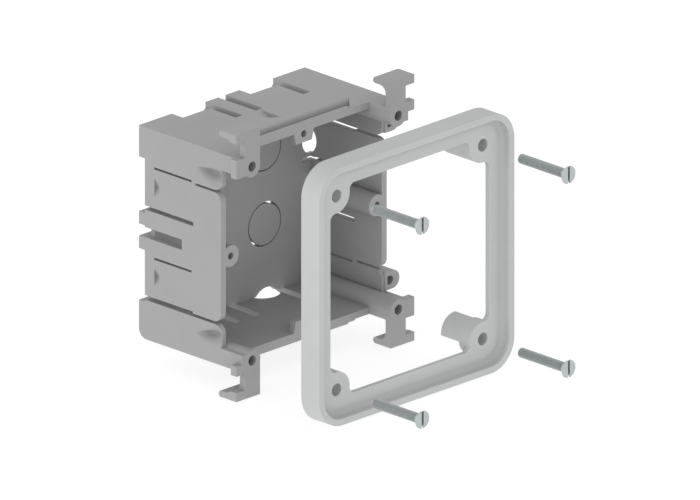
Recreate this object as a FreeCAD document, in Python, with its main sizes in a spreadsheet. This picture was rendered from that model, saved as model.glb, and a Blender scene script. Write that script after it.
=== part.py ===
"""Switch box for a wall: a moulded box with corner hooks, a raising frame and four frame screws.

Millimetres. X runs to the right, Y runs into the wall and Z runs up. The origin is the middle
of the box's front edges, halfway between the two device screw holes, so the box lies behind
Y = 0. The hooks stand out in front of it, and the frame and its screws are drawn apart from
the box along Y, in line with the holes that they go into.
"""
import FreeCAD, Part
import os
import re
import Sketcher
from FreeCAD import Vector

doc = FreeCAD.newDocument("switch_box")

# Driving sizes, one value each
SIZES = {
    # Screw pattern, shared by the box, the frame and the screws
    "screw_pitch": 60.0,
    # Box shell
    "box_width": 68.0,
    "box_height": 65.6,
    "box_depth": 33.7,
    "wall": 2.0,
    "rear_edge_radius": 3.0,
    "rear_recess": 2.4,
    # Raised blocks on the rear face
    "corner_block_width": 13.4,
    "corner_block_tall": 11.6,
    "corner_block_short": 9.7,
    "mid_block_width": 14.4,
    "mid_block_height": 8.8,
    "rib_length": 7.0,
    "rib_height": 3.9,
    "rib_gap": 3.7,
    "rib_shift": 0.5,
    "rib_notch_radius": 1.9,
    # Corner posts, screw bosses and hooks
    "hook_standoff": 8.8,
    "screw_boss_radius": 3.3,
    "screw_boss_depth": 30.0,
    "screw_hole_radius": 1.55,
    "screw_hole_depth": 17.0,
    "post_inner": 26.8,
    "post_foot": 27.6,
    "stem_outer": 33.0,
    "stem_thickness": 2.1,
    "hook_reach": 41.2,
    "hook_depth": 7.2,
    "hook_lip": 1.9,
    "hook_outer": 36.5,
    "hook_fillet": 2.3,
    "hook_nose": 0.8,
    "hook_root": 0.8,
    "arm_top": 33.4,
    "arm_foot": 30.3,
    "arm_thickness": 2.3,
    "arm_clearance": 0.4,
    # Device screw lugs in the middle of each side
    "device_hole_radius": 1.1,
    "device_hole_depth": 13.0,
    "side_lug_radius": 3.3,
    "side_lug_depth": 15.0,
    "mid_lug_thickness": 2.2,
    "mid_lug_foot": 6.6,
    "mid_lug_root": 8.6,
    "mid_lug_drop": 5.4,
    # Front rims on the long top and bottom edges, with the finger groove behind them
    "rim_length": 36.4,
    "rim_step_length": 42.0,
    "rim_rise": 0.8,
    "rim_step_rise": 0.4,
    "rim_thickness": 0.9,
    "groove_front_length": 39.6,
    "groove_rear_length": 50.8,
    "groove_width": 6.3,
    "groove_depth": 1.5,
    # Break-out slits in the side walls
    "slit": 0.7,
    "slit_level": 21.0,
    "slit_start": 12.1,
    "slit_end": 27.5,
    "front_slit_level": 20.5,
    "front_slit_end": 10.6,
    "split_level": 20.2,
    "split_gap": 0.9,
    "wide_split_gap": 1.5,
    "wide_split_start": 11.6,
    "panel_corner_radius": 2.8,
    "tongue_slot": 1.3,
    "tongue_slot_level": 7.95,
    "tongue_slot_start": 11.4,
    "tongue_gap": 3.2,
    "tongue_gap_level": 0.3,
    "tongue_gap_start": 16.1,
    "tongue_slit_level": 6.95,
    # Slots and finger dents in the top and bottom
    "top_slot": 3.0,
    "top_slot_start": 18.2,
    "top_slot_near": 8.2,
    "top_slot_far": 19.5,
    "top_dent_gap": 0.3,
    "top_dent_length": 8.4,
    "side_dent_place": 27.4,
    "side_dent_high": 15.1,
    "side_dent_low": 12.6,
    "side_dent_length": 5.6,
    "dent_depth": 1.2,
    # Looped ears on the outside of the right wall
    "ear_level": 24.4,
    "ear_half_height": 2.8,
    "ear_reach": 4.9,
    "ear_front": 0.3,
    "ear_length": 9.5,
    "ear_slope_start": 2.0,
    "ear_hole_half": 1.35,
    "ear_hole_width": 2.4,
    "ear_hole_depth": 3.6,
    # Hollows in the left wall that the ears of a neighbouring box lie in
    "trough_depth": 1.4,
    "trough_bend": 24.4,
    "trough_high": 28.5,
    "trough_length": 9.8,
    "trough_tail": 25.6,
    "trough_tail_half": 0.8,
    "trough_tail_depth": 0.05,
    # Round knock-outs in the back, and the one that is broken out in the rear lower corner
    "knockout_radius": 6.6,
    "knockout_place": 13.2,
    "knockout_high": 14.1,
    "knockout_low": 9.1,
    "knockout_groove": 0.35,
    "knockout_web": 0.8,
    "entry_place": 13.9,
    "entry_radius": 5.5,
    "entry_rise": 2.0,
    "side_entry_radius": 4.4,
    "side_entry_level": 12.0,
    "side_entry_inset": 1.0,
    "rear_slot_start": 27.1,
    "rear_slot_reach": 5.3,
    "rear_slot_level": 6.4,
    "rear_slot": 1.4,
    # Raising frame
    "frame_size": 80.0,
    "frame_corner_radius": 9.4,
    "frame_depth": 7.5,
    "frame_lip_height": 3.0,
    "frame_lip_width": 2.0,
    "frame_plate": 1.4,
    "frame_window": 65.0,
    "frame_window_radius": 1.5,
    "frame_lip_fillet": 1.6,
    "frame_boss_radius": 5.4,
    "frame_boss_fillet": 2.0,
    "frame_post_flat": 0.55,
    "frame_seat_depth": 11.8,
    "frame_hole_radius": 1.95,
    # Frame screws
    "screw_length": 20.0,
    "screw_radius": 1.5,
    "head_radius": 2.75,
    "head_edge": 0.3,
    "head_slot_width": 0.8,
    "head_slot_depth": 0.9,
    "screw_tip_chamfer": 0.4,
    # How far the pieces are drawn apart
    "frame_apart": 22.8,
    "screws_apart": 34.25,
    # How far cutting outlines stand clear of the material
    "overshoot": 1.0,
}

sheet = doc.addObject("Spreadsheet::Sheet", "sizes")
for row, (alias, value) in enumerate(SIZES.items(), start=1):
    sheet.set(f"A{row}", alias)
    sheet.set(f"B{row}", str(value))
    sheet.setAlias(f"B{row}", alias)
doc.recompute()


def expand(text):
    """Write size names in a formula as cells of the sheet: 'wall / 2' becomes 'sizes.wall / 2'."""
    return re.sub(r"[a-z_]+", lambda word: "sizes." * (word[0] in SIZES) + word[0], text)


def worth(text):
    """The number that a formula of the sizes comes to."""
    return float(sheet.evalExpression(expand(text)))


# Sketch drawing: every corner, centre and radius is a formula of the sizes

def new_body(name):
    body = doc.addObject("PartDesign::Body", name)
    body.Label = name
    return body


def origin_feature(body, role):
    return next(item for item in body.Origin.OriginFeatures if item.Role == role)


def new_sketch(body, name, plane, offset="0"):
    """A sketch on one of the body's own planes, moved along the plane's normal by a formula."""
    sketch = body.newObject("Sketcher::SketchObject", name)
    sketch.AttachmentSupport = [(origin_feature(body, plane), "")]
    sketch.MapMode = "FlatFace"
    sketch.setExpression("AttachmentOffset.Base.z", expand(offset))
    return sketch


def pins(shape, point, across, up):
    """Two rules that tie a point of the sketch to two formulas, measured from its origin."""
    return [(Sketcher.Constraint(kind, -1, 1, shape, point, worth(text)), text)
            for kind, text in (("DistanceX", across), ("DistanceY", up))]


def apply_rules(sketch, rules):
    """Add constraints, each with the formula that drives it, or None."""
    places = sketch.addConstraint([rule for rule, text in rules])
    for place, (rule, text) in zip(places, rules):
        if text is not None:
            sketch.setExpression(f"Constraints[{place}]", expand(text))


def outline(sketch, corners):
    """A closed outline. A corner is (across, up), or (across, up, mid across, mid up) where
    the edge that leaves it is an arc through the second point."""
    spots = [Vector(worth(corner[0]), worth(corner[1]), 0) for corner in corners]
    shapes, first_ends, middles = [], [], []
    for index, corner in enumerate(corners):
        here, there = spots[index], spots[(index + 1) % len(corners)]
        first_ends.append(1)
        if len(corner) == 2:
            shapes.append(Part.LineSegment(here, there))
            continue
        middle = Vector(worth(corner[2]), worth(corner[3]), 0)
        shapes.append(Part.Arc(here, middle, there))
        middles.append((index, Part.Point(middle)))
        # an arc is kept counter-clockwise, so one drawn the other way starts at its second end
        if (middle - here).cross(there - middle).z < 0:
            first_ends[index] = 2
    start = sketch.GeometryCount
    sketch.addGeometry(shapes, False)
    rules = []
    for index, corner in enumerate(corners):
        following = (index + 1) % len(corners)
        rules.append((Sketcher.Constraint("Coincident", start + index, 3 - first_ends[index],
                                          start + following, first_ends[following]), None))
        rules += pins(start + index, first_ends[index], corner[0], corner[1])
    for index, point in middles:
        helper = sketch.addGeometry(point, True)
        rules += pins(helper, 1, corners[index][2], corners[index][3])
        rules.append((Sketcher.Constraint("PointOnObject", helper, 1, start + index), None))
    apply_rules(sketch, rules)


def rectangle(sketch, left, low, right, high):
    outline(sketch, [(left, low), (right, low), (right, high), (left, high)])


def circle(sketch, across, up, radius):
    centre = Vector(worth(across), worth(up), 0)
    shape = sketch.addGeometry(Part.Circle(centre, Vector(0, 0, 1), worth(radius)), False)
    size = (Sketcher.Constraint("Radius", shape, worth(radius)), radius)
    apply_rules(sketch, pins(shape, 3, across, up) + [size])


def rounded_square(sketch, side, radius):
    """A square about the origin with round corners."""
    flat = f"({side}) / 2 - ({radius})"
    edge = f"({side}) / 2"
    bend = f"({side}) / 2 - ({radius}) * (1 - sqrt(2) / 2)"
    corners = []
    for across, up in ((1, -1), (1, 1), (-1, 1), (-1, -1)):
        runs = (edge, flat) if across * up > 0 else (flat, edge)
        ends = (flat, edge) if across * up > 0 else (edge, flat)
        corners.append((f"{across} * ({runs[0]})", f"{up} * ({runs[1]})",
                        f"{across} * ({bend})", f"{up} * ({bend})"))
        corners.append((f"{across} * ({ends[0]})", f"{up} * ({ends[1]})"))
    outline(sketch, corners)


def add(body, name, sketch, length, backward=True):
    """Pad a sketch. On the front plane, backward means into the wall."""
    pad = body.newObject("PartDesign::Pad", name)
    pad.Profile = sketch
    pad.setExpression("Length", expand(length))
    pad.Reversed = backward
    doc.recompute()
    return pad


def cut(body, name, sketch, length, flipped=False):
    """Cut a pocket and make sure that it took material away."""
    before = body.Shape.Volume
    pocket = body.newObject("PartDesign::Pocket", name)
    pocket.Profile = sketch
    pocket.setExpression("Length", expand(length))
    pocket.Reversed = flipped
    pocket.Refine = False
    doc.recompute()
    if body.Shape.Volume > before - 1e-4:
        raise RuntimeError(f"{name} cuts nothing")
    return pocket


def loft(body, name, faces, removes=False):
    """Join two outlines by straight lines, as material or as a cut."""
    before = body.Shape.Volume
    kind = "PartDesign::SubtractiveLoft" if removes else "PartDesign::AdditiveLoft"
    made = body.newObject(kind, name)
    made.Profile = faces[0]
    made.Sections = faces[1:]
    made.Ruled = True
    made.Refine = False
    doc.recompute()
    if (body.Shape.Volume < before) != removes:
        raise RuntimeError(f"{name} changes nothing")


def round_edges(body, name, radius, wanted):
    """Fillet the edges that a test on their two ends and middle picks."""
    base = body.Tip
    names = []
    for number, edge in enumerate(base.Shape.Edges, start=1):
        middle = edge.valueAt((edge.FirstParameter + edge.LastParameter) / 2)
        if wanted(edge, middle):
            names.append(f"Edge{number}")
    fillet = body.newObject("PartDesign::Fillet", name)
    fillet.Base = (base, names)
    fillet.setExpression("Radius", expand(radius))
    doc.recompute()
    return fillet


def runs_along(edge, axis):
    """True for a straight edge along X, Y or Z (0, 1 or 2)."""
    if edge.Curve.TypeId != "Part::GeomLine":
        return False
    return abs(abs(edge.Curve.Direction[axis]) - 1) < 1e-6


CORNERS = [(1, 1), (-1, 1), (-1, -1), (1, -1)]
HALF_W, HALF_H = "box_width / 2", "box_height / 2"
HALF_PITCH = "screw_pitch / 2"
SHELL_DEPTH = "(box_depth - rear_recess)"
INSIDE_DEPTH = f"({SHELL_DEPTH} - wall)"
FRONT, SIDE, PLAN = "XZ_Plane", "YZ_Plane", "XY_Plane"


def add_shell(box):
    """The outside of the box, round at the two long rear edges, with the blocks and ribs that
    it stands on. The blocks are square at the top and round at the bottom."""
    profile = new_sketch(box, "side_profile", SIDE, f"-({HALF_W})")
    rectangle(profile, "0", f"-({HALF_H})", SHELL_DEPTH, HALF_H)
    add(box, "shell_block", profile, "box_width", backward=False)
    shell_rear = worth(SHELL_DEPTH)
    round_edges(box, "rear_rounds", "rear_edge_radius",
                lambda edge, middle: runs_along(edge, 0) and abs(middle.y - shell_rear) < 1e-6)
    blocks = new_sketch(box, "rear_block_outlines", FRONT, "-box_depth")
    for across, up in CORNERS:
        height = "corner_block_tall" if across == up else "corner_block_short"
        rectangle(blocks, f"{across} * ({HALF_W} - corner_block_width)",
                  f"{up} * ({HALF_H} - {height})", f"{across} * {HALF_W}", f"{up} * {HALF_H}")
    for up in (1, -1):
        rectangle(blocks, "-mid_block_width / 2", f"{up} * ({HALF_H} - mid_block_height)",
                  "mid_block_width / 2", f"{up} * {HALF_H}")
    for turn in (-1, 1):
        for up in (1, -1):
            near = f"{-turn} * rib_shift + {up} * rib_gap / 2"
            rectangle(blocks, f"{turn} * ({HALF_W} - rib_length)", near,
                      f"{turn} * {HALF_W}", f"{near} + {up} * rib_height")
    add(box, "rear_blocks", blocks, "rear_recess + rear_edge_radius", backward=False)
    rear, foot = worth("box_depth"), worth(f"-({HALF_H})")
    round_edges(box, "block_rounds", "rear_edge_radius",
                lambda edge, middle: runs_along(edge, 0) and abs(middle.y - rear) < 1e-6
                and abs(middle.z - foot) < 1e-6)
    hollow = new_sketch(box, "hollow_outline", FRONT)
    rectangle(hollow, f"wall - {HALF_W}", f"wall - {HALF_H}",
              f"{HALF_W} - wall", f"{HALF_H} - wall")
    cut(box, "hollow", hollow, INSIDE_DEPTH)
    for turn, name in ((-1, "left"), (1, "right")):
        notch = new_sketch(box, f"{name}_rib_notch_outline", SIDE,
                           f"{turn} * ({HALF_W} + overshoot)")
        circle(notch, "box_depth - rear_recess / 2", f"{-turn} * rib_shift", "rib_notch_radius")
        cut(box, f"{name}_rib_notch", notch, "rib_length + overshoot", flipped=turn < 0)


def add_hooks(box):
    """Four corner posts that carry the screw bosses, the stems and the hooks."""
    posts = new_sketch(box, "post_outlines", FRONT, "hook_standoff")
    for across, up in CORNERS:
        spots = [("post_inner", HALF_PITCH), ("post_inner", HALF_H), (HALF_W, HALF_H),
                 (HALF_W, "post_foot"), (HALF_PITCH, "post_foot"), (HALF_PITCH, HALF_PITCH)]
        outline(posts, [(f"{across} * ({x})", f"{up} * ({z})") for x, z in spots])
    add(box, "corner_posts", posts, "hook_standoff + overshoot")

    bosses = new_sketch(box, "boss_outlines", FRONT, "hook_standoff")
    spread = f"sqrt(screw_boss_radius ^ 2 - ({HALF_H} - {HALF_PITCH}) ^ 2)"
    for across, up in CORNERS:
        middle = f"{across} * {HALF_PITCH}"
        outline(bosses, [(f"{middle} - {spread}", f"{up} * {HALF_H}",
                          middle, f"{up} * ({HALF_PITCH} - screw_boss_radius)"),
                         (f"{middle} + {spread}", f"{up} * {HALF_H}")])
    add(box, "screw_bosses", bosses, "screw_boss_depth")

    stems = new_sketch(box, "stem_outlines", FRONT, "hook_standoff")
    for across, up in CORNERS:
        rectangle(stems, f"{across} * post_inner", f"{up} * {HALF_PITCH}",
                  f"{across} * stem_outer", f"{up} * (hook_reach - hook_lip / 2)")
    add(box, "hook_stems", stems, "stem_thickness")

    arms = new_sketch(box, "arm_outlines", FRONT, "hook_standoff")
    for across, up in CORNERS:
        foot = "arm_foot" if across == up else "post_foot"
        start = f"{HALF_PITCH} + screw_hole_radius + arm_clearance"
        rectangle(arms, f"{across} * ({start})", f"{up} * {foot}",
                  f"{across} * hook_outer", f"{up} * arm_top")
    add(box, "outer_arms", arms, "arm_thickness")

    for across, name in ((1, "right"), (-1, "left")):
        start = "post_inner" if across > 0 else "-hook_outer"
        hooks = new_sketch(box, f"{name}_hook_profiles", SIDE, start)
        for up in (1, -1):
            spots = [("-hook_standoff", "hook_reach"),
                     ("hook_depth - hook_standoff", "hook_reach"),
                     ("hook_depth - hook_standoff", "hook_reach - hook_lip"),
                     ("stem_thickness - hook_standoff", "hook_reach - hook_lip"),
                     ("stem_thickness - hook_standoff", "hook_reach - hook_lip - hook_root"),
                     ("-hook_standoff", "hook_reach - hook_lip - hook_root")]
            outline(hooks, [(y, f"{up} * ({z})") for y, z in spots])
        add(box, f"{name}_hooks", hooks, "hook_outer - post_inner", backward=False)

    rear = worth("stem_thickness - hook_standoff")
    under = worth("hook_reach - hook_lip")
    round_edges(box, "hook_throats", "hook_fillet",
                lambda edge, middle: runs_along(edge, 0) and abs(middle.y - rear) < 1e-6
                and abs(abs(middle.z) - under) < 1e-6)
    nose = worth("hook_depth - hook_standoff")
    round_edges(box, "hook_noses", "hook_nose",
                lambda edge, middle: runs_along(edge, 0) and abs(middle.y - nose) < 1e-6
                and abs(middle.z) > under - 1e-6)


def add_lugs(box):
    """Lugs in the middle of the four sides, for the screws of a switch or socket."""
    sides = new_sketch(box, "side_lug_outlines", FRONT)
    for across in (1, -1):
        circle(sides, f"{across} * {HALF_PITCH}", "0", "side_lug_radius")
    add(box, "side_lugs", sides, "side_lug_depth")
    mids = new_sketch(box, "mid_lug_outlines", FRONT)
    for up in (1, -1):
        spots = [("-mid_lug_root / 2", f"{HALF_H} - wall / 2"),
                 ("-mid_lug_foot / 2", f"{HALF_H} - mid_lug_drop"),
                 ("mid_lug_foot / 2", f"{HALF_H} - mid_lug_drop"),
                 ("mid_lug_root / 2", f"{HALF_H} - wall / 2")]
        outline(mids, [(x, f"{up} * ({z})") for x, z in spots])
    add(box, "mid_lugs", mids, "mid_lug_thickness")


def add_rims(box):
    """Stepped rims along the top and bottom front edges, with a sloping groove behind."""
    rims = new_sketch(box, "rim_outlines", FRONT)
    for up in (1, -1):
        rises = ["0 - wall / 2", "rim_step_rise", "rim_step_rise", "rim_rise", "rim_rise",
                 "rim_step_rise", "rim_step_rise", "0 - wall / 2"]
        places = ["-rim_step_length / 2", "-rim_step_length / 2", "-rim_length / 2",
                  "-rim_length / 2", "rim_length / 2", "rim_length / 2",
                  "rim_step_length / 2", "rim_step_length / 2"]
        outline(rims, [(x, f"{up} * ({HALF_H} + {rise})") for x, rise in zip(places, rises)])
    add(box, "front_rims", rims, "rim_thickness")
    for up, name in ((1, "top"), (-1, "bottom")):
        faces = []
        for suffix, place, length, floor in (
                ("front", "-rim_thickness", "groove_front_length", f"{HALF_H} - groove_depth"),
                ("rear", "-rim_thickness - groove_width", "groove_rear_length", HALF_H)):
            face = new_sketch(box, f"{name}_groove_{suffix}", FRONT, place)
            rectangle(face, f"-{length} / 2", f"{up} * ({floor})",
                      f"{length} / 2", f"{up} * ({HALF_H} + overshoot)")
            faces.append(face)
        loft(box, f"{name}_rim_groove", faces, removes=True)


def add_ears(box):
    """Looped ears on the outside of the right wall, sloping off to nothing at the back."""
    ears = new_sketch(box, "ear_outlines", FRONT, "ear_front")
    for up in (1, -1):
        looped_outline(ears, f"{HALF_W} - wall / 2", f"{HALF_W} + ear_reach - ear_half_height",
                       f"{up} * ear_level", "ear_half_height")
    add(box, "ears", ears, "ear_length")
    clear = "ear_level + ear_half_height + overshoot"
    slope = new_sketch(box, "ear_slope_profile", PLAN, clear)
    outline(slope, [(HALF_W, "ear_length"),
                    (f"{HALF_W} + ear_reach + overshoot", "ear_slope_start"),
                    (f"{HALF_W} + ear_reach + overshoot", "ear_length")])
    cut(box, "ear_slopes", slope, f"2 * ({clear})")
    holes = new_sketch(box, "ear_hole_outlines", FRONT, "ear_front + overshoot")
    for up in (1, -1):
        looped_outline(holes, HALF_W, f"{HALF_W} + ear_hole_width - ear_hole_half",
                       f"{up} * ear_level", "ear_hole_half")
    cut(box, "ear_holes", holes, "ear_hole_depth + overshoot")


def looped_outline(sketch, root, bend, level, half):
    """A flat-backed outline that ends in a half circle."""
    outline(sketch, [(root, f"{level} - {half}"),
                     (bend, f"{level} - {half}", f"{bend} + {half}", level),
                     (bend, f"{level} + {half}"),
                     (root, f"{level} + {half}")])


def cut_troughs(box):
    """Hollows in the front of the left wall, sloping to its surface at the back. The ears of
    a box that stands beside this one lie in them."""
    outside = f"-({HALF_W} + overshoot)"
    for up, name in ((1, "top"), (-1, "bottom")):
        faces = []
        for suffix, place, depth, low, bend, high in (
                ("front", "0", "trough_depth", "front_slit_level", "trough_bend", "trough_high"),
                ("rear", "-trough_length", "trough_tail_depth",
                 "trough_tail - trough_tail_half", "trough_tail",
                 "trough_tail + trough_tail_half")):
            face = new_sketch(box, f"{name}_trough_{suffix}", FRONT, place)
            spots = [(outside, low), (f"{depth} - {HALF_W}", low), (f"{depth} - {HALF_W}", bend),
                     (f"-({HALF_W})", high), (outside, high)]
            outline(face, [(x, f"{up} * ({z})") for x, z in spots])
            faces.append(face)
        loft(box, f"{name}_trough", faces, removes=True)


def cut_screw_holes(box):
    corner_holes = new_sketch(box, "corner_hole_outlines", FRONT, "hook_standoff")
    for across, up in CORNERS:
        circle(corner_holes, f"{across} * {HALF_PITCH}", f"{up} * {HALF_PITCH}",
               "screw_hole_radius")
    cut(box, "frame_screw_holes", corner_holes, "screw_hole_depth")
    side_holes = new_sketch(box, "side_hole_outlines", FRONT)
    for across in (1, -1):
        circle(side_holes, f"{across} * {HALF_PITCH}", "0", "device_hole_radius")
    cut(box, "side_device_holes", side_holes, "device_hole_depth")
    mid_holes = new_sketch(box, "mid_hole_outlines", FRONT)
    for up in (1, -1):
        circle(mid_holes, "0", f"{up} * {HALF_PITCH}", "device_hole_radius")
    cut(box, "mid_device_holes", mid_holes, "mid_lug_thickness")


def cut_side_slits(box):
    """The slits that part each side wall into break-out panels. The two walls are alike when
    the box is turned upside down, so one list is drawn twice, once turned about."""
    rear = "box_depth + overshoot"
    slits = [
        ("slit_start", "slit_end", "slit_level", "slit"),
        ("tongue_slot_start", rear, "tongue_slot_level", "tongue_slot"),
        ("tongue_gap_start", rear, "tongue_gap_level", "tongue_gap"),
        ("slit_start", "slit_end", "-tongue_slit_level", "slit"),
    ]
    flare = "panel_corner_radius"
    bend = "panel_corner_radius * (1 - sqrt(2) / 2)"
    ahead = "-overshoot"
    low, high = "(front_slit_level - slit / 2)", "(front_slit_level + slit / 2)"
    front_slit = [(flare, low, bend, f"{low} - {bend}"), ("0", f"{low} - {flare}"),
                  (ahead, f"{low} - {flare}"), (ahead, f"{high} + {flare}"),
                  ("0", f"{high} + {flare}", bend, f"{high} + {bend}"), (flare, high),
                  ("front_slit_end", high), ("front_slit_end", low)]
    low, high = "(-split_level - split_gap / 2)", "(-split_level + split_gap / 2)"
    wide = f"({low} + wide_split_gap)"
    split = [(flare, low, bend, f"{low} - {bend}"), ("0", f"{low} - {flare}"),
             (ahead, f"{low} - {flare}"), (ahead, f"{high} + {flare}"),
             ("0", f"{high} + {flare}", bend, f"{high} + {bend}"), (flare, high),
             ("wide_split_start", high), ("wide_split_start", wide), (rear, wide), (rear, low)]
    for turn, name in ((-1, "left"), (1, "right")):
        sketch = new_sketch(box, f"{name}_slit_outlines", SIDE,
                            f"{turn} * ({HALF_W} + overshoot)")
        for start, end, level, gap in slits:
            centre = f"{-turn} * ({level})"
            rectangle(sketch, start, f"{centre} - ({gap}) / 2", end, f"{centre} + ({gap}) / 2")
        for shape in (front_slit, split):
            outline(sketch, [tuple(text if place % 2 == 0 else f"{-turn} * ({text})"
                                   for place, text in enumerate(corner)) for corner in shape])
        cut(box, f"{name}_slits", sketch, "wall + overshoot", flipped=turn < 0)


def cut_slots(box):
    """Slots that run along the top and bottom to the rear."""
    for up, name in ((1, "top"), (-1, "bottom")):
        slots = new_sketch(box, f"{name}_slot_outlines", PLAN, f"{up} * ({HALF_H} + overshoot)")
        for place in ("-top_slot_near", "0", "top_slot_far"):
            rectangle(slots, f"{place} - top_slot / 2", "top_slot_start",
                      f"{place} + top_slot / 2", "box_depth + overshoot")
        cut(box, f"{name}_slots", slots, "wall + overshoot", flipped=up < 0)


def cut_dents(box):
    """Thumbnail dents beside the break-out parts. Each is half of a flat cone, with its wall
    at the straight edge and its point in the middle of the wall's foot."""
    reach = "top_dent_length / 2"
    top_spot = ["0", f"top_slot_start - top_dent_gap - {reach}"]
    backwards = Vector(0, -1, 0)
    for up, name in ((1, "top"), (-1, "bottom")):
        spot = top_spot + [f"{up} * ({HALF_H} - dent_depth)"]
        cut_dent(box, f"{name}_dent", spot, reach, Vector(-1, 0, 0), Vector(0, 0, up))
    for turn, side in ((-1, "left"), (1, "right")):
        for level, name in (("side_dent_high", "high"), ("-side_dent_low", "low")):
            spot = [f"{turn} * ({HALF_W} - dent_depth)", "side_dent_place", f"{-turn} * ({level})"]
            cut_dent(box, f"{side}_{name}_dent", spot, "side_dent_length / 2", backwards,
                     Vector(turn, 0, 0))


def cut_dent(box, name, spot, reach, bulge, outward):
    """One dent: its point, its radius in the surface, the way it bulges and the way it opens."""
    before = box.Shape.Volume
    dent = box.newObject("PartDesign::SubtractiveCone", name)
    dent.Radius1 = 0
    dent.setExpression("Radius2", expand(reach))
    dent.setExpression("Height", expand("dent_depth"))
    dent.Angle = 180
    dent.Placement.Rotation = FreeCAD.Rotation(bulge.cross(outward), bulge, outward, "ZYX")
    for axis, text in zip("xyz", spot):
        dent.setExpression(f"Placement.Base.{axis}", expand(text))
    doc.recompute()
    if box.Shape.Volume > before - 1e-4:
        raise RuntimeError(f"{name} cuts nothing")


def cut_knockouts(box):
    """Round knock-outs in the back, each held by a thin web with two open arcs, and the
    round entries that are open: one across the rear lower edge and one at the rear right."""
    inside = f"-{INSIDE_DEPTH}"
    centres = [(f"{across} * knockout_place", level)
               for across in (1, -1) for level in ("knockout_high", "-knockout_low")]
    grooves = new_sketch(box, "knockout_groove_outlines", FRONT, inside)
    for x, z in centres:
        circle(grooves, x, z, "knockout_radius + knockout_groove / 2")
        circle(grooves, x, z, "knockout_radius - knockout_groove / 2")
    cut(box, "knockout_grooves", grooves, "wall - knockout_web")
    arcs = new_sketch(box, "knockout_arc_outlines", FRONT, inside)
    outer, inner = "knockout_radius + knockout_groove", "knockout_radius - knockout_groove"
    for x, z in centres:
        for angles in ((50, 70, 90), (210, 230, 250)):
            start, middle, end = (
                [(f"{x} + ({radius}) * cos({angle})", f"{z} + ({radius}) * sin({angle})")
                 for radius in (outer, inner)] for angle in angles)
            outline(arcs, [start[0] + middle[0], end[0], end[1] + middle[1], start[1]])
    cut(box, "knockout_arcs", arcs, "wall")
    entries = new_sketch(box, "back_entry_outlines", FRONT, inside)
    circle(entries, "entry_place", f"entry_rise + wall - {HALF_H} - entry_radius", "entry_radius")
    circle(entries, f"{HALF_W} - side_entry_inset", "side_entry_level", "side_entry_radius")
    slot_low, slot_high = "rear_slot_level - rear_slot / 2", "rear_slot_level + rear_slot / 2"
    rectangle(entries, f"{HALF_W} - rear_slot_reach", slot_low, f"{HALF_W} + overshoot", slot_high)
    cut(box, "back_entries", entries, "wall + rear_recess + overshoot")
    floor_entry = new_sketch(box, "floor_entry_outline", PLAN, f"-({HALF_H} + overshoot)")
    circle(floor_entry, "entry_place", SHELL_DEPTH, "entry_radius")
    cut(box, "floor_entry", floor_entry, "wall + overshoot", flipped=True)
    side_entry = new_sketch(box, "side_entry_outline", SIDE, f"{HALF_W} + overshoot")
    circle(side_entry, SHELL_DEPTH, "side_entry_level", "side_entry_radius")
    rectangle(side_entry, "rear_slot_start", slot_low, "box_depth + overshoot", slot_high)
    cut(box, "side_entry", side_entry, "wall + overshoot")


def make_wall_box():
    """The box is one moulding, so every wall, hook and lug is a feature of one body."""
    box = new_body("wall_box")
    add_shell(box)
    add_hooks(box)
    add_lugs(box)
    add_rims(box)
    cut_side_slits(box)
    add_ears(box)
    cut_troughs(box)
    cut_screw_holes(box)
    cut_slots(box)
    cut_dents(box)
    cut_knockouts(box)
    return box


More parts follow.
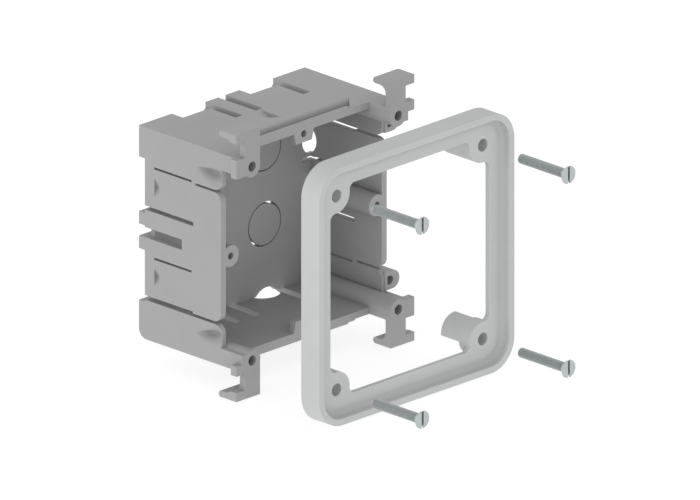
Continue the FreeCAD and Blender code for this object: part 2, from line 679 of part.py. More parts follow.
def make_raising_frame():
    """A square frame with a raised outer lip and four bosses, each of which goes on behind the
    frame as a quarter-round post. Its own Y = 0 is the plane of the post ends, which seat on
    the hooks' front faces."""
    frame = new_body("raising_frame")
    front = "frame_seat_depth + frame_lip_height"
    outer = new_sketch(frame, "outer_outline", FRONT, front)
    rounded_square(outer, "frame_size", "frame_corner_radius")
    add(frame, "outer_block", outer, "frame_depth")
    inner_side = "frame_size - 2 * frame_lip_width"
    inner_radius = "frame_corner_radius - frame_lip_width"
    recess = new_sketch(frame, "front_recess_outline", FRONT, front)
    rounded_square(recess, inner_side, inner_radius)
    cut(frame, "front_recess", recess, "frame_lip_height")
    back = new_sketch(frame, "back_recess_outline", FRONT, "frame_seat_depth - frame_plate")
    rounded_square(back, inner_side, inner_radius)
    cut(frame, "back_recess", back, "frame_depth")
    window = new_sketch(frame, "window_outline", FRONT, "frame_seat_depth")
    rounded_square(window, "frame_window", "frame_window_radius")
    cut(frame, "window", window, "frame_plate")
    bosses = new_sketch(frame, "boss_outlines", FRONT, "frame_seat_depth")
    for across, up in CORNERS:
        circle(bosses, f"{across} * {HALF_PITCH}", f"{up} * {HALF_PITCH}", "frame_boss_radius")
    boss_length = "(frame_depth - frame_lip_height)"
    add(frame, "bosses", bosses, boss_length)
    posts = new_sketch(frame, "post_outlines", FRONT, f"frame_seat_depth - {boss_length}")
    flat = f"({HALF_PITCH} + frame_post_flat)"
    round_end = f"({HALF_PITCH} - sqrt(frame_boss_radius ^ 2 - frame_post_flat ^ 2))"
    bend = f"({HALF_PITCH} - frame_boss_radius * sqrt(2) / 2)"
    for across, up in CORNERS:
        outline(posts, [(f"{across} * {flat}", f"{up} * {round_end}",
                         f"{across} * {bend}", f"{up} * {bend}"),
                        (f"{across} * {round_end}", f"{up} * {flat}"),
                        (f"{across} * {flat}", f"{up} * {flat}")])
    add(frame, "quarter_posts", posts, f"frame_seat_depth - {boss_length}")
    holes = new_sketch(frame, "hole_outlines", FRONT, "frame_seat_depth")
    for across, up in CORNERS:
        circle(holes, f"{across} * {HALF_PITCH}", f"{up} * {HALF_PITCH}", "frame_hole_radius")
    cut(frame, "screw_holes", holes, "frame_seat_depth")

    face = -worth("frame_seat_depth")
    reach = worth("frame_size / 2 - frame_lip_width")
    window_edge = worth("frame_window / 2")

    def lip_foot(edge, middle):
        outside = max(abs(middle.x), abs(middle.z)) > window_edge + 1
        return (outside and abs(middle.y - face) < 1e-6
                and max(abs(middle.x), abs(middle.z)) > reach - worth("frame_corner_radius"))

    round_edges(frame, "lip_foot", "frame_lip_fillet", lip_foot)

    def boss_side(edge, middle):
        return (runs_along(edge, 1) and edge.Length < worth("frame_plate") + 1e-6
                and abs(middle.x) < window_edge + 1e-6 and abs(middle.z) < window_edge + 1e-6)

    round_edges(frame, "boss_sides", "frame_boss_fillet", boss_side)
    frame.setExpression("Placement.Base.y", expand("-hook_standoff - frame_apart"))
    return frame


def make_screw(name, across, up):
    """A slotted countersunk screw. Its own Y = 0 is the flat of the head; the shank runs back."""
    screw = new_body(name)
    profile = new_sketch(screw, f"{name}_profile", PLAN)
    cone_end = "head_edge + head_radius - screw_radius"
    outline(profile, [("0", "0"), ("head_radius", "0"), ("head_radius", "head_edge"),
                      ("screw_radius", cone_end),
                      ("screw_radius", "screw_length - screw_tip_chamfer"),
                      ("screw_radius - screw_tip_chamfer", "screw_length"),
                      ("0", "screw_length")])
    turned = screw.newObject("PartDesign::Revolution", f"{name}_turned")
    turned.Profile = profile
    turned.ReferenceAxis = (profile, ["V_Axis"])
    turned.Angle = 360.0
    doc.recompute()
    slot = new_sketch(screw, f"{name}_slot_outline", FRONT)
    rectangle(slot, "-head_slot_width / 2", "-head_radius - 1",
              "head_slot_width / 2", "head_radius + 1")
    cut(screw, f"{name}_slot", slot, "head_slot_depth")
    screw.setExpression("Placement.Base.x", expand(f"{across} * {HALF_PITCH}"))
    screw.setExpression("Placement.Base.z", expand(f"{up} * {HALF_PITCH}"))
    seat = "head_edge + head_radius - frame_hole_radius"
    screw.setExpression("Placement.Base.y", expand(
        f"-hook_standoff - frame_apart - frame_seat_depth - ({seat}) - screws_apart"))
    return screw


pieces = [make_wall_box(), make_raising_frame()]
for across, up in CORNERS:
    corner = f"{'top' if up > 0 else 'bottom'}_{'right' if across > 0 else 'left'}"
    pieces.append(make_screw(f"frame_screw_{corner}", across, up))
doc.recompute()

for item in doc.Objects:
    if "Invalid" in item.State or "Error" in item.State:
        raise RuntimeError(f"{item.Name} failed: {item.State}")
for piece in pieces:
    if piece.Shape.isNull() or not piece.Shape.isValid():
        raise RuntimeError(f"{piece.Label} has no valid shape")

os.makedirs("parts", exist_ok=True)
for piece in pieces:
    piece.Shape.exportStep(f"parts/{piece.Label}.step")
    box = piece.Shape.BoundBox
    print(f"{piece.Label}: {len(piece.Shape.Solids)} solid, volume {piece.Shape.Volume:.0f} mm3, "
          f"X {box.XMin:.1f} to {box.XMax:.1f}, Y {box.YMin:.1f} to {box.YMax:.1f}, "
          f"Z {box.ZMin:.1f} to {box.ZMax:.1f}")
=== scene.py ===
# %% [markdown]
# # A switch box with its raising frame and frame screws
#
# The object is what an electrician sets into a wall to carry a switch or a socket. It has
# three kinds of piece: a moulded box, a moulded frame that brings the device out to the face
# of the plaster, and four countersunk screws that hold the frame to the box. They are shown
# drawn apart, each in line with the hole that it goes into.
#
# The shapes come ready made from the part's solids. This lesson gives them their finish,
# softens two hollows of the box, winds the fine thread that the solid screws lack, and lights
# them.

# %% Load the solids
import math

import bmesh
import bpy
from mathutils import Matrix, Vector


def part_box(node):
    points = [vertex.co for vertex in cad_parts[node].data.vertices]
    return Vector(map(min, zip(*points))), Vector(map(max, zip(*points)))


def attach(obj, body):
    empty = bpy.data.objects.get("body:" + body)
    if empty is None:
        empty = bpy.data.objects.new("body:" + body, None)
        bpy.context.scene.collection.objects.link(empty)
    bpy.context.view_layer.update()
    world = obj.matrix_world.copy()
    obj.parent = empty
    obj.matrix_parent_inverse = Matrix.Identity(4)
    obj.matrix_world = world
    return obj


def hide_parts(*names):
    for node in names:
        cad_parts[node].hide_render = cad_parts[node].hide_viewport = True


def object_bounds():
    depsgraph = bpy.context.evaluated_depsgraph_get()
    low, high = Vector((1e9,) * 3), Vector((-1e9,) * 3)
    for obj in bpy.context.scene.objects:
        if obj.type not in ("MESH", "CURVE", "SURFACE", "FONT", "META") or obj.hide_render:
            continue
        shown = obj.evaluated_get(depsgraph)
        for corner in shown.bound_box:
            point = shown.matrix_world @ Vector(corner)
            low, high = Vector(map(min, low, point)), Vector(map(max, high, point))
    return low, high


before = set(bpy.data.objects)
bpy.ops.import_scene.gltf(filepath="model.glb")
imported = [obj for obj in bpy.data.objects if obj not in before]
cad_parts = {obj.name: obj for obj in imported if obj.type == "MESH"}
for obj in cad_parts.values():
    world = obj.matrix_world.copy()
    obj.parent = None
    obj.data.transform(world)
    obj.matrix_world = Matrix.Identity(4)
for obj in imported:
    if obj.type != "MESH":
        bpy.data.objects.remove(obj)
solid_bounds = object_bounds()
MM = 0.001
for name in sorted(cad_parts):
    low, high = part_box(name)
    print(name, "spans", [round((b - a) / MM, 1) for a, b in zip(low, high)], "mm")

# %% [markdown]
# ## Writing a finish as arithmetic
#
# A finish is a graph of nodes. Drawn by hand it is quick to read, but in a script the links
# hide the idea. So one small class stands for a number or a colour that varies over the
# surface. Adding or multiplying two of them places the Math node that does it, and
# `1 - mask` means what it says.

# %% Numbers that vary over a surface


class Field:
    """A socket's value over the surface. Plain arithmetic on it adds Math nodes."""

    def __init__(self, finish, socket):
        self.finish, self.socket = finish, socket

    def maths(self, operation, first, second=None):
        sockets = {0: first} if second is None else {0: first, 1: second}
        return self.finish.node("ShaderNodeMath", {"operation": operation}, sockets)

    def __add__(self, other):
        return self.maths("ADD", self, other)

    def __sub__(self, other):
        return self.maths("SUBTRACT", self, other)

    def __rsub__(self, other):
        return self.maths("SUBTRACT", other, self)

    def __mul__(self, other):
        return self.maths("MULTIPLY", self, other)

    def __pow__(self, other):
        return self.maths("POWER", self, other)

    def __abs__(self):
        return self.maths("ABSOLUTE", self)

    __radd__, __rmul__ = __add__, __mul__

    def clamped(self):
        return self.maths("MINIMUM", self.maths("MAXIMUM", self, 0.0), 1.0)


print("a Field answers to + - * ** abs and clamped")

# %% [markdown]
# Everything that isn't arithmetic goes through one method, `node`. It takes the node's type,
# its settings, and for each socket either a plain value or a Field to link. A finish belongs
# to a material, or to the world, whose one shader it feeds.

# %% The nodes that feed a shader


class Finish:
    """The nodes of a material or of the world, and the shader that they feed."""

    def __init__(self, owner, shader="Principled BSDF"):
        owner.use_nodes = True
        self.owner, self.tree = owner, owner.node_tree
        self.shader = self.tree.nodes[shader]

    def node(self, kind, settings=None, sockets=None, out=0):
        """Any node: its settings come first, then a value or a link for each socket."""
        made = self.tree.nodes.new(kind)
        for key, value in (settings or {}).items():
            if key == "stops":
                self.set_stops(made.color_ramp, value)
            else:
                setattr(made, key, value)
        for key, value in (sockets or {}).items():
            self.give(made.inputs[key], value)
        return Field(self, made.outputs[out])

    def set_stops(self, colours, stops):
        while len(colours.elements) < len(stops):
            colours.elements.new(1.0)
        for element, (position, level) in zip(colours.elements, stops):
            element.position, element.color = position, grey(level)

    def give(self, socket, value):
        if isinstance(value, Field):
            self.tree.links.new(value.socket, socket)
        else:
            socket.default_value = value

    def feed(self, **inputs):
        """Set the shader's own inputs: Base_Color=..., Roughness=..., and so on."""
        for key, value in inputs.items():
            self.give(self.shader.inputs[key.replace("_", " ")], value)


def grey(level, tint=(1.0, 1.0, 1.0)):
    """A grey as a colour with alpha. The tint raises or lowers its red, green and blue."""
    return tuple(level * part for part in tint) + (1.0,)


print("a mid grey is", grey(0.5))

# %% [markdown]
# Four helpers do most of the work in every finish. Noise breaks up an even colour, a ramp
# sets its contrast, and a blend paints one colour over another. Closeness looks how much room
# a point has round it, so it finds the inner corners, which get painted shade, and the outer
# edges, which get a painted highlight. Noise and closeness measure in the part's own
# millimetres, so that a grain is the same size on every piece.

# %% Noise, ramp, blend and closeness
MIX_SHARE, MIX_FIRST, MIX_SECOND, MIX_RESULT = 0, 6, 7, 2


def place(finish, stretch=(1.0, 1.0, 1.0)):
    """Where a point of the surface is, in millimetres of the part's own frame."""
    spot = finish.node("ShaderNodeTexCoord", out="Object")
    scale = [1.0 / MM * part for part in stretch]
    return finish.node("ShaderNodeVectorMath", {"operation": "MULTIPLY"}, {0: spot, 1: scale})


def noise(finish, size, detail=2.0, stretch=(1.0, 1.0, 1.0)):
    """Cloudy noise from 0 to 1 whose spots are about `size` millimetres across."""
    return finish.node("ShaderNodeTexNoise", {},
                       {"Vector": place(finish, stretch), "Scale": 1.0 / size, "Detail": detail})


def ramp(field, stops):
    return field.finish.node("ShaderNodeValToRGB", {"stops": stops}, {0: field})


def blend(mask, first, second):
    """A colour that goes from the first to the second as the mask goes from 0 to 1."""
    return mask.finish.node("ShaderNodeMix", {"data_type": "RGBA"},
                            {MIX_SHARE: mask, MIX_FIRST: first, MIX_SECOND: second},
                            out=MIX_RESULT)


def closeness(finish, reach, inside=False):
    """1 where other surfaces stand within `reach` millimetres, 0 in the open. Looking
    inside the solid instead, it is 1 along the outer edges."""
    open_share = finish.node("ShaderNodeAmbientOcclusion",
                             {"samples": 6, "inside": inside, "only_local": True},
                             {"Distance": reach * MM}, out="AO")
    return 1 - open_share


print("finish helpers ready")

# %% [markdown]
# ## Moulded plastic
#
# Box and frame are injection moulded. The steel mould was spark eroded, so every face has a
# fine, even grain about a fifth of a millimetre wide, which keeps the plastic from shining.
# The melt leaves faint cloudy streaks along the way it flowed. Edges are a breath rounder and
# carry a painted highlight that makes them lighter than faces, and the inner corners are
# painted darker as painted shade.
#
# The grain and the slight unevenness of the faces are bumps, because they are far too small
# to be worth faces of their own. The box is the darker moulding. The frame is paler, a little
# cooler in tone, and has more painted shade in its corners.

# %% The plastic's finish
STREAK_SIZE, CLOUD_SIZE, GRAIN_SIZE = 9.0, 26.0, 0.22
DARK_STREAK, PALE_STREAK = 0.965, 1.03
GRAIN_HEIGHT, SINK_HEIGHT, EDGE_ROUNDING = 0.006 * MM, 0.12 * MM, 0.25 * MM
# The painted highlight along the outer edges: how near the edge, how much, and how much paler.
EDGE_REACH, EDGE_HIGHLIGHT_SHARE, EDGE_HIGHLIGHT_PALER = 0.5, 0.25, 1.25
# The painted shade in the corners: its tint, and how much darker it makes the colour.
SHADE_TINT, SHADE_DARKER = (1.01, 1.0, 0.985), 0.45


def moulded_plastic(name, colour, corner_shade, shade_reach, tint=(1.0, 1.0, 1.0), deep_shade=None):
    finish = Finish(bpy.data.materials.new(name))
    streaks = noise(finish, STREAK_SIZE, detail=4.0, stretch=(0.2, 1.0, 1.0))
    cloud = noise(finish, CLOUD_SIZE)
    grain = noise(finish, GRAIN_SIZE)
    corners = closeness(finish, shade_reach)
    edges = (closeness(finish, EDGE_REACH, inside=True) * 2.0).clamped()

    # Streaks and clouds together make the tone, and the ramp raises its contrast.
    tone = ramp(streaks * 0.55 + cloud * 0.45, [(0.3, 0.0), (0.7, 1.0)])
    body = blend(tone, grey(colour * DARK_STREAK, tint), grey(colour * PALE_STREAK, tint))
    # The power makes the painted shade thick in the very corner and lets it thin out fast.
    painted_shade = (corners * 1.8).clamped() ** 1.4 * corner_shade
    if deep_shade:
        painted_shade = (painted_shade + deep_shade(finish)).clamped()
    # Painted shade: the corners and the deep places are painted darker.
    with_painted_shade = blend(painted_shade, body, grey(colour * SHADE_DARKER, SHADE_TINT))
    # Painted highlight: the outer edges are painted paler.
    with_edge_highlight = blend(edges * EDGE_HIGHLIGHT_SHARE, with_painted_shade, grey(colour * EDGE_HIGHLIGHT_PALER, tint))
    finish.feed(Base_Color=with_edge_highlight, Roughness=0.46 + grain * 0.14 + corners * 0.1,
                IOR=1.5, Specular_IOR_Level=0.35, Normal=plastic_skin(finish, cloud, grain))
    print(name, "has", len(finish.tree.nodes), "nodes")
    return finish.owner


def plastic_skin(finish, cloud, grain):
    """The normal: softened edges, then faces a little uneven, then the fine grain."""
    softened = finish.node("ShaderNodeBevel", {"samples": 6}, {"Radius": EDGE_ROUNDING})
    uneven = finish.node("ShaderNodeBump", {}, {"Strength": 0.35, "Distance": SINK_HEIGHT,
                                                "Height": cloud, "Normal": softened})
    return finish.node("ShaderNodeBump", {}, {"Strength": 0.5, "Distance": GRAIN_HEIGHT,
                                              "Height": grain, "Normal": uneven})


# %% Dress the frame
FRAME_GREY, COOL_TINT = 0.60, (0.97, 1.0, 0.993)


def dress(piece, material):
    """Give a piece its finish. Its shape stays as it is."""
    piece.data.materials.clear()
    piece.data.materials.append(material)


dress(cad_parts["raising_frame"],
      moulded_plastic("frame_plastic", FRAME_GREY, corner_shade=0.9, shade_reach=3.0, tint=COOL_TINT))

# %% [markdown]
# The box has two places that get extra painted shade: the finger grooves behind its upper and
# lower rim, and the hollows in its left wall. Closeness misses them, because they are shallow
# and wide open. Their places are known, though, so a mask is measured out instead.
# It is 1 between two sizes on each axis, and it grows with the depth.

# %% Painted shade in the deep places of the box
BOX_GREY = 0.40
# Painted shade: where the grooves and the hollows are painted darker, in millimetres.
GROOVE_SHADE, GROOVE_HEIGHTS = (32.75, 32.1), (31.0, 32.79)
GROOVE_BACK, GROOVE_ACROSS = (0.85, 7.3), (-25.5, 25.5)
HOLLOW_SHADE, HOLLOW_ACROSS = (-34.0, -32.4), (-33.99, -32.2)
HOLLOW_BACK, HOLLOW_HEIGHTS = (0.15, 9.8), (23.4, 28.5)
HOLLOW_SHADE_SHARE = 0.7


def axes(finish):
    """The place's X, Y and Z in millimetres, each as a number."""
    parts = finish.node("ShaderNodeSeparateXYZ", {}, {0: place(finish)})
    return [Field(finish, socket) for socket in parts.socket.node.outputs]


def rise(field, start, end):
    """0 up to the start, 1 from the end on, and even in between."""
    return field.finish.node("ShaderNodeMapRange", {},
                             {"Value": field, "From Min": start, "From Max": end})


def between(field, low, high):
    """1 where the number lies between two values, and 0 elsewhere."""
    return field.finish.node("ShaderNodeMath", {"operation": "COMPARE"},
                             {0: field, 1: (low + high) / 2, 2: (high - low) / 2})


def box_deep_shade(finish):
    """Painted shade at the bottom of the finger grooves and of the hollows in the left wall."""
    across, back, level = axes(finish)
    height = abs(level)
    groove = (rise(height, *GROOVE_SHADE) * between(height, *GROOVE_HEIGHTS)
              * between(back, *GROOVE_BACK) * between(across, *GROOVE_ACROSS))
    hollow = (rise(across, *HOLLOW_SHADE) * between(across, *HOLLOW_ACROSS)
              * between(back, *HOLLOW_BACK) * between(height, *HOLLOW_HEIGHTS))
    return groove + hollow * hollow * HOLLOW_SHADE_SHARE


box_plastic = moulded_plastic("box_plastic", BOX_GREY, corner_shade=0.25, shade_reach=4.0,
                              deep_shade=box_deep_shade)

# %% [markdown]
# ## The hollows in the left wall
#
# Two boxes can stand side by side. The looped ears on the right wall of one then lie in two
# hollows in the left wall of the other. The solid has each hollow with flat faces. On the real
# moulding it is a soft thumb-shaped dish. So the box is copied, the faces of each hollow are
# divided finely, and their points are pressed in by a smooth amount that is almost nothing
# along the edges. The copy then stands for the solid.
#
# Cutting the dish with a rounded tool would be the other way. It would leave its own edges
# across the slits and the front of the wall, while moved points keep the wall closed.

# %% Where the hollows lie
WALL_FACE = -34.0 * MM
HOLLOW_LENGTH, SOLID_DEPTH = 9.8 * MM, 1.4 * MM
# How far each long edge lies from the wall's middle: at the front, then at the tail.
INNER_EDGE, OUTER_EDGE = (20.5 * MM, 24.8 * MM), (28.5 * MM, 26.4 * MM)
NEAR, NEAR_SHARE = 0.01 * MM, 0.01


def hollow_share(back, level):
    """How far out in a hollow a point lies: 0 at its inner edge and 1 at its outer edge."""
    share = back / HOLLOW_LENGTH
    inner, outer = (front + (tail - front) * share for front, tail in (INNER_EDGE, OUTER_EDGE))
    return (level - inner) / (outer - inner)


def in_hollow(spot):
    back, level = spot.y, abs(spot.z)
    share = hollow_share(min(max(back, 0.0), HOLLOW_LENGTH), level)
    return (WALL_FACE - NEAR < spot.x < WALL_FACE + SOLID_DEPTH + NEAR
            and -NEAR < back < HOLLOW_LENGTH + NEAR and -NEAR_SHARE < share < 1 + NEAR_SHARE)


for spot in (Vector((WALL_FACE, 3 * MM, 24 * MM)), Vector((WALL_FACE, 12 * MM, 24 * MM))):
    print([round(part / MM, 1) for part in spot], "in a hollow:", in_hollow(spot))

# %% [markdown]
# The depth is a product of two curves. Across the hollow it swells softly from either edge to
# the deepest line. That line lies nearer the upper edge in both hollows, which is the outer
# edge of the upper one and the inner edge of the lower one. Along the hollow the depth is half
# a wave that has already begun where the wall ends in front.

# %% How deep the dish is
DISH_DEPTH = 1.7 * MM
# The deepest line's share of the way out, in the upper and in the lower hollow.
DEEPEST_ABOVE, DEEPEST_BELOW = 0.6, 0.35
BEGUN_IN_FRONT, FULLNESS = 0.1, 0.7


def pressed(spot):
    """How deep the dish is at a point of the wall."""
    across = min(max(hollow_share(spot.y, abs(spot.z)), 0.0), 1.0)
    deepest = DEEPEST_ABOVE if spot.z > 0 else DEEPEST_BELOW
    near = across / deepest if across < deepest else (1.0 - across) / (1.0 - deepest)
    along = spot.y / HOLLOW_LENGTH * (1.0 - BEGUN_IN_FRONT) + BEGUN_IN_FRONT
    wave = math.sin(math.pi * min(max(along, 0.0), 1.0))
    return DISH_DEPTH * wave ** FULLNESS * near * near * (3.0 - 2.0 * near)


for back in (0.0, 4.0, 8.0):
    print(back, "mm behind the front the upper dish is",
          round(pressed(Vector((WALL_FACE, back * MM, 25.3 * MM))) / MM, 2), "mm deep")

# %% [markdown]
# Only edges longer than half a millimetre are halved, over and over, so that the fine faces
# end up in the hollows and nowhere else. Each round closes with triangles. Cutting a
# four-sided face along its shorter diagonal keeps them from doubling an edge. A point that
# lay below the wall's face stays below it by a hair, so no face folds flat.

# %% Divide the faces and press their points in
SAME_SPOT = 0.0005 * MM
DISH_STEP, LEAST_DEPTH = 0.5 * MM, 0.03 * MM
HALVINGS = 4
FACES_OUT = -0.5


def dish_edges(mesh):
    """The long edges of the faces that make the bottom of a hollow, in the mesh's order."""
    for edge in mesh.edges:
        edge.tag = False
    for face in mesh.faces:
        spots = [vert.co for vert in face.verts]
        if (face.normal.x < FACES_OUT and all(in_hollow(spot) for spot in spots)
                and any(spot.x > WALL_FACE + NEAR for spot in spots)):
            for edge in face.edges:
                edge.tag = True
    return [edge for edge in mesh.edges if edge.tag and edge.calc_length() > DISH_STEP]


def box_with_hollows(node):
    mesh = bmesh.new()
    mesh.from_mesh(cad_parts[node].data)
    bmesh.ops.remove_doubles(mesh, verts=mesh.verts, dist=SAME_SPOT)
    for _ in range(HALVINGS):
        bmesh.ops.subdivide_edges(mesh, edges=dish_edges(mesh), cuts=1)
        bmesh.ops.triangulate(mesh, faces=[face for face in mesh.faces if len(face.verts) > 3],
                              quad_method="SHORT_EDGE")
    sunk = [vert for vert in mesh.verts if in_hollow(vert.co) and vert.co.x > WALL_FACE + NEAR]
    for vert in sunk:
        vert.co.x = WALL_FACE + max(pressed(vert.co), LEAST_DEPTH)
    print(len(sunk), "points pressed in")
    return mesh


box_mesh = box_with_hollows("wall_box")
print("open edges:", sum(len(edge.link_faces) != 2 for edge in box_mesh.edges))

# %% [markdown]
# The copy is shaded smooth where its faces meet at less than 30 degrees, which takes in the
# dishes and the roundings. Averaged normals would make a large flat face look bent beside a
# rounding, so each face counts by its area.

# %% The box with soft hollows
BOX_SMOOTH_BELOW = 30


def piece_from(mesh, name):
    data = bpy.data.meshes.new(name)
    mesh.to_mesh(data)
    mesh.free()
    piece = bpy.data.objects.new(name, data)
    bpy.context.scene.collection.objects.link(piece)
    return piece


def smooth_by_angle(piece, degrees):
    piece.data.shade_smooth()
    piece.data.set_sharp_from_angle(angle=math.radians(degrees))


box_piece = piece_from(box_mesh, "wall_box_dished")
if "custom_normal" in box_piece.data.attributes:
    box_piece.data.attributes.remove(box_piece.data.attributes["custom_normal"])
smooth_by_angle(box_piece, BOX_SMOOTH_BELOW)
weighted = box_piece.modifiers.new("flat_faces_stay_flat", "WEIGHTED_NORMAL")
weighted.keep_sharp = True
dress(box_piece, box_plastic)
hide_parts("wall_box")
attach(box_piece, "box")
print("box of", len(box_piece.data.polygons), "faces")

# %% [markdown]
# ## Zinc plating on the screws
#
# The screws are cold headed steel with a thin, faintly blue zinc plating. It is a metal, so
# the colour goes into the reflection. The plating is a little uneven, the roots of the thread
# are painted darker as painted shade, and fine turning marks run round the head. A rough
# metal reflects the room as a soft band along the shank.

# %% The zinc's finish
ZINC_DARK, ZINC_PALE = (0.44, 0.475, 0.475, 1.0), (0.54, 0.58, 0.575, 1.0)
# The painted shade in the thread roots.
ZINC_ROOT_SHADE = (0.30, 0.32, 0.32, 1.0)
ROOT_REACH, MOTTLE_SIZE, MARK_SIZE = 0.6, 1.6, 0.5
MARK_HEIGHT = 0.02 * MM


def zinc_plate(name):
    finish = Finish(bpy.data.materials.new(name))
    mottle = noise(finish, MOTTLE_SIZE, detail=3.0)
    marks = noise(finish, MARK_SIZE, detail=4.0, stretch=(1.0, 6.0, 1.0))
    # Painted shade: the thread roots are painted darker.
    roots = (closeness(finish, ROOT_REACH) * 1.5).clamped()
    colour = blend(roots, blend(mottle, ZINC_DARK, ZINC_PALE), ZINC_ROOT_SHADE)
    skin = finish.node("ShaderNodeBump", {},
                       {"Strength": 0.25, "Distance": MARK_HEIGHT, "Height": marks})
    finish.feed(Base_Color=colour, Metallic=1.0, Roughness=0.38 + mottle * 0.12 + marks * 0.1,
                Normal=skin)
    print(name, "has", len(finish.tree.nodes), "nodes")
    return finish.owner


zinc = zinc_plate("zinc_plate")

# %% [markdown]
# ## A screw with its thread
#
# The solid screw has a plain shank, because a thread's thousands of faces say nothing about
# its strength or fit. Here the thread is wound for real. Picture the crest and the root as
# four lines that run round the shank together and gain one pitch each turn. Joining each
# step of the four lines to the next step gives the flanks, and joining the last line to the
# first line one turn on closes the surface. At the tip the lines are held back by the cone
# that the thread dies out in.

# %% Wind the thread
SHANK = 1.5 * MM
PITCH, THREAD_DEPTH, TIP_CHAMFER = 0.5 * MM, 0.27 * MM, 0.45 * MM
STEPS_PER_TURN = 32
# Each line: how far along the pitch it lies, and how much of the depth it has.
THREAD_LINES = [(0.0, 0.0), (0.14, 0.0), (0.43, 1.0), (0.71, 1.0)]


def wind_thread(mesh, start, end):
    """Helical faces from `start` to `end` along +Y about the Y axis."""
    turns = int((end - start) / PITCH) + 2
    rows = []
    for step in range(turns * STEPS_PER_TURN + 1):
        angle = 2 * math.pi * step / STEPS_PER_TURN
        row = []
        for share, depth in THREAD_LINES:
            along = start + PITCH * (step / STEPS_PER_TURN + share - 1)
            along = min(max(along, start), end)
            radius = min(SHANK - THREAD_DEPTH * depth, SHANK - TIP_CHAMFER + (end - along))
            row.append(mesh.verts.new((radius * math.cos(angle), along, radius * math.sin(angle))))
        rows.append(row)
    for step in range(len(rows) - 1):
        later = step + STEPS_PER_TURN
        here, there = list(rows[step]), list(rows[step + 1])
        if later + 1 < len(rows):
            here.append(rows[later][0])
            there.append(rows[later + 1][0])
        for index in range(len(here) - 1):
            mesh.faces.new((here[index], there[index], there[index + 1], here[index + 1]))


print("a thread of", round(PITCH / MM, 2), "mm pitch on a", round(2 * SHANK / MM, 1), "mm shank")

# %% [markdown]
# The head is a short rim on a cone, so it is turned: a profile of radius and place along the
# screw is swept round the axis. Its slot is cut as on the real screw, by taking a bar away.

# %% Turn the head and cut its slot
HEAD_SIDES = 64
HEAD_RIM, HEAD_EDGE, NECK = 0.3 * MM, 0.12 * MM, 0.4 * MM
SLOT_WIDTH, SLOT_DEPTH = 0.8 * MM, 0.9 * MM


def turn_profile(mesh, profile, sides):
    """A surface of revolution about the Y axis from (radius, along) pairs."""
    rings = []
    for radius, along in profile:
        if radius == 0:
            rings.append([mesh.verts.new((0, along, 0))] * sides)
            continue
        rings.append([mesh.verts.new((radius * math.cos(2 * math.pi * side / sides), along,
                                      radius * math.sin(2 * math.pi * side / sides)))
                      for side in range(sides)])
    for first, second in zip(rings, rings[1:]):
        for side in range(sides):
            following = (side + 1) % sides
            corners = [first[side], first[following], second[following], second[side]]
            mesh.faces.new(list(dict.fromkeys(corners)))


def slotted_head(head):
    """The cone of the head with its screwdriver slot."""
    cone_end = HEAD_RIM + head - SHANK
    mesh = bmesh.new()
    turn_profile(mesh, [(0, 0), (head - HEAD_EDGE, 0), (head - HEAD_EDGE * 0.3, HEAD_EDGE * 0.3),
                        (head, HEAD_EDGE), (head, HEAD_RIM), (SHANK, cone_end),
                        (SHANK, cone_end + NECK), (0, HEAD_RIM + head)], HEAD_SIDES)
    bmesh.ops.recalc_face_normals(mesh, faces=mesh.faces)
    blank = piece_from(mesh, "head_blank")
    bar_mesh = bmesh.new()
    bmesh.ops.create_cube(bar_mesh, size=1.0)
    bmesh.ops.scale(bar_mesh, verts=bar_mesh.verts, vec=(SLOT_WIDTH, 2 * SLOT_DEPTH, 3 * head))
    bar = piece_from(bar_mesh, "slot_bar")
    cut = blank.modifiers.new("slot", "BOOLEAN")
    cut.object, cut.operation, cut.solver = bar, "DIFFERENCE", "EXACT"
    bpy.context.view_layer.update()
    made = bpy.data.meshes.new_from_object(
        blank.evaluated_get(bpy.context.evaluated_depsgraph_get()))
    for used in (blank, bar):
        bpy.data.objects.remove(used)
    return made


# %% [markdown]
# Each screw takes its size and its place from the solid that it stands for, so it lies in the
# same spot and rides on the same body. The head, the thread and the flat end of the tip are
# made as one mesh, and points that fall together are joined.

# %% Make the four screws
THREAD_WELD = 0.002 * MM
SCREW_SMOOTH_BELOW = 28


def make_screw(node):
    low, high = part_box(node)
    head = (high[0] - low[0]) / 2
    length = high[1] - low[1]
    mesh = bmesh.new()
    mesh.from_mesh(slotted_head(head))
    wind_thread(mesh, HEAD_RIM + head - SHANK, length)
    turn_profile(mesh, [(SHANK - TIP_CHAMFER, length), (0, length)], STEPS_PER_TURN)
    bmesh.ops.remove_doubles(mesh, verts=mesh.verts, dist=THREAD_WELD)
    bmesh.ops.recalc_face_normals(mesh, faces=mesh.faces)
    screw = piece_from(mesh, node + "_threaded")
    screw.location = ((low[0] + high[0]) / 2, low[1], (low[2] + high[2]) / 2)
    dress(screw, zinc)
    smooth_by_angle(screw, SCREW_SMOOTH_BELOW)
    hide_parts(node)
    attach(screw, node.replace("frame_screw", "screw"))
    return screw


screws = [make_screw(node) for node in sorted(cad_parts) if node.startswith("frame_screw")]
print(len(screws), "screws of", len(screws[0].data.polygons), "faces")

# %% [markdown]
# ## Floor, light and camera
#
# The pieces are shown on plain white, as in a catalogue. The whole sky gives most of the
# light, soft and nearly even. Seen straight, in a mirror or through glass it is plain white,
# but it lights the pieces with less, or the pale frame would lose its edges.

# %% The sky
SKY_LEVEL = 0.66
WHITE = (1.0, 1.0, 1.0, 1.0)


def seen_rays(finish):
    """1 for rays that show the background itself: straight, mirrored or through glass."""
    straight, mirrored, through = (
        finish.node("ShaderNodeLightPath", out=f"Is {kind} Ray")
        for kind in ("Camera", "Glossy", "Transmission"))
    either = straight.maths("MAXIMUM", straight, mirrored)
    return either.maths("MAXIMUM", either, through)


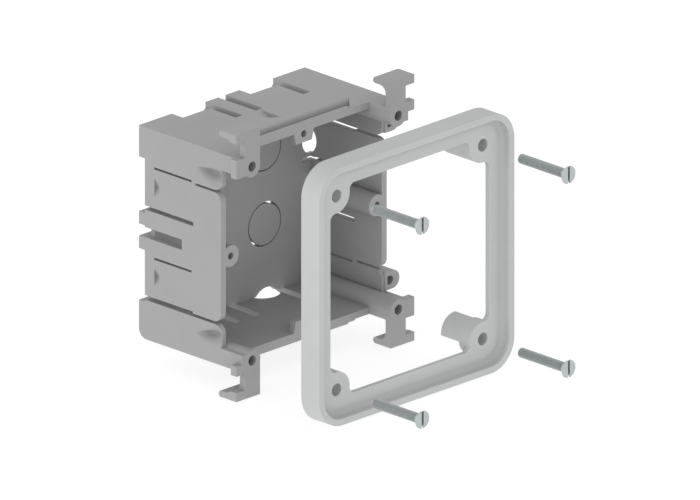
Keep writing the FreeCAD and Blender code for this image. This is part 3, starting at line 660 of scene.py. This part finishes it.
def make_sky():
    world = bpy.data.worlds.new("soft_room")
    sky = Finish(world, "Background")
    level = sky.node("ShaderNodeMapRange", {},
                     {"Value": seen_rays(sky), "To Min": SKY_LEVEL, "To Max": 1.0})
    sky.feed(Color=WHITE, Strength=level)
    bpy.context.scene.world = world


make_sky()
print("the sky lights with", SKY_LEVEL, "and shows as 1")

# %% [markdown]
# The floor is a pale sheet of paper just under the lowest piece. It glows a little, and a
# little more for the camera, so that it comes out white and still takes a faint shadow.

# %% The floor
FLOOR_GREY, FLOOR_GLOW, SHOWN_GLOW = 0.45, 0.60, 0.14
FLOOR_GAP, FLOOR_HALF = 0.3 * MM, 3.0


def white_paper():
    paper = Finish(bpy.data.materials.new("white_paper"))
    paper.feed(Base_Color=grey(FLOOR_GREY), Roughness=1.0, Specular_IOR_Level=0.0,
               Emission_Color=WHITE,
               Emission_Strength=seen_rays(paper) * SHOWN_GLOW + FLOOR_GLOW)
    return paper.owner


sheet = bmesh.new()
bmesh.ops.create_grid(sheet, x_segments=1, y_segments=1, size=FLOOR_HALF)
floor = piece_from(sheet, "floor")
floor.location.z = solid_bounds[0][2] - FLOOR_GAP
dress(floor, white_paper())
print("floor at", round(floor.location.z / MM, 1), "mm")

# %% [markdown]
# Two broad lamps stand for two windows. The one on the left makes the left faces the
# lightest, and the weak one in front fills the inside of the box a little, which otherwise
# stays dim. Both are wide, so that they cast no hard edge.

# %% The windows


def make_sun(name, towards, strength, spread):
    lamp = bpy.data.lights.new(name, "SUN")
    lamp.energy = strength
    lamp.angle = math.radians(spread)
    holder = bpy.data.objects.new(name, lamp)
    holder.rotation_euler = Vector(towards).to_track_quat("-Z", "Y").to_euler()
    bpy.context.scene.collection.objects.link(holder)
    print(name, "shines with", strength, "over", spread, "degrees")


make_sun("left_window", (1.0, 0.0, -0.25), 0.55, 35)
make_sun("front_window", (0.35, 1.0, -0.3), 0.28, 60)

# %% [markdown]
# The picture is drawn without perspective, from the left and a little above, so an
# orthographic camera stands 45 degrees to the left and 20 degrees up.

# %% The camera
TURN, RISE = math.radians(-45.0), math.radians(20.36)
AIM = Vector((4.22, -14.69, -3.23)) * MM
PICTURE_WIDTH, CAMERA_AWAY = 203.1 * MM, 0.6

scene = bpy.context.scene
scene.view_settings.view_transform = "Standard"
towards_camera = Vector((math.sin(TURN) * math.cos(RISE), -math.cos(TURN) * math.cos(RISE),
                         math.sin(RISE)))
lens = bpy.data.cameras.new("camera")
lens.type = "ORTHO"
lens.ortho_scale = PICTURE_WIDTH
camera = bpy.data.objects.new("camera", lens)
camera.location = AIM + towards_camera * CAMERA_AWAY
camera.rotation_euler = (-towards_camera).to_track_quat("-Z", "Y").to_euler()
scene.collection.objects.link(camera)
scene.camera = camera
print("camera at", [round(part / MM) for part in camera.location], "mm")
